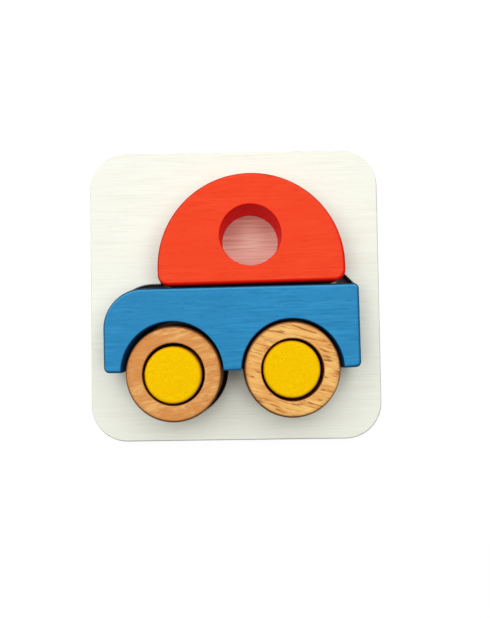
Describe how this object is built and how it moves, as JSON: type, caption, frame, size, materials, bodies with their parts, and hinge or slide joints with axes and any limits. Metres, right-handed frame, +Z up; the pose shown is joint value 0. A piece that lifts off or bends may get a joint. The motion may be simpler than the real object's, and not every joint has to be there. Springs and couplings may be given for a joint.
{
  "type": "wooden car puzzle",
  "caption": "Square wooden tray puzzle with a car-shaped recess that holds thick loose pieces: half-round cabin, arched body, ring wheels and round hubs that lift straight out.",
  "frame": {"origin": "centre of the board's underside", "axes": "+Z up out of the board, +X along the car towards its rear, +Y across the board towards the car's roof"},
  "size_m": [0.18, 0.18, 0.0353],
  "materials": {
    "panel_wood": "matte",
    "whitewash": "matte",
    "red_stain": "satin",
    "blue_stain": "satin",
    "wheel_wood": "satin",
    "yellow_stain": "satin"
  },
  "bodies": {
    "board": {"back_panel": "panel_wood", "tray_frame": "whitewash"},
    "cabin_piece": {"cabin": "red_stain"},
    "body_piece": {"car_body": "blue_stain"},
    "front_wheel_piece": {"front_wheel": "wheel_wood"},
    "rear_wheel_piece": {"rear_wheel": "wheel_wood"},
    "front_hub_piece": {"front_hub": "yellow_stain"},
    "rear_hub_piece": {"rear_hub": "yellow_stain"}
  },
  "joints": [
    {"name": "cabin_lift", "type": "slide", "parent": "board", "child": "cabin_piece", "axis": [0, 0, 1], "range_m": [0, 0.045]},
    {"name": "body_lift", "type": "slide", "parent": "board", "child": "body_piece", "axis": [0, 0, 1], "range_m": [0, 0.045]},
    {"name": "front_wheel_lift", "type": "slide", "parent": "board", "child": "front_wheel_piece", "axis": [0, 0, 1], "range_m": [0, 0.045]},
    {"name": "rear_wheel_lift", "type": "slide", "parent": "board", "child": "rear_wheel_piece", "axis": [0, 0, 1], "range_m": [0, 0.045]},
    {"name": "front_hub_lift", "type": "slide", "parent": "board", "child": "front_hub_piece", "axis": [0, 0, 1], "range_m": [0, 0.045]},
    {"name": "rear_hub_lift", "type": "slide", "parent": "board", "child": "rear_hub_piece", "axis": [0, 0, 1], "range_m": [0, 0.045]}
  ]
}
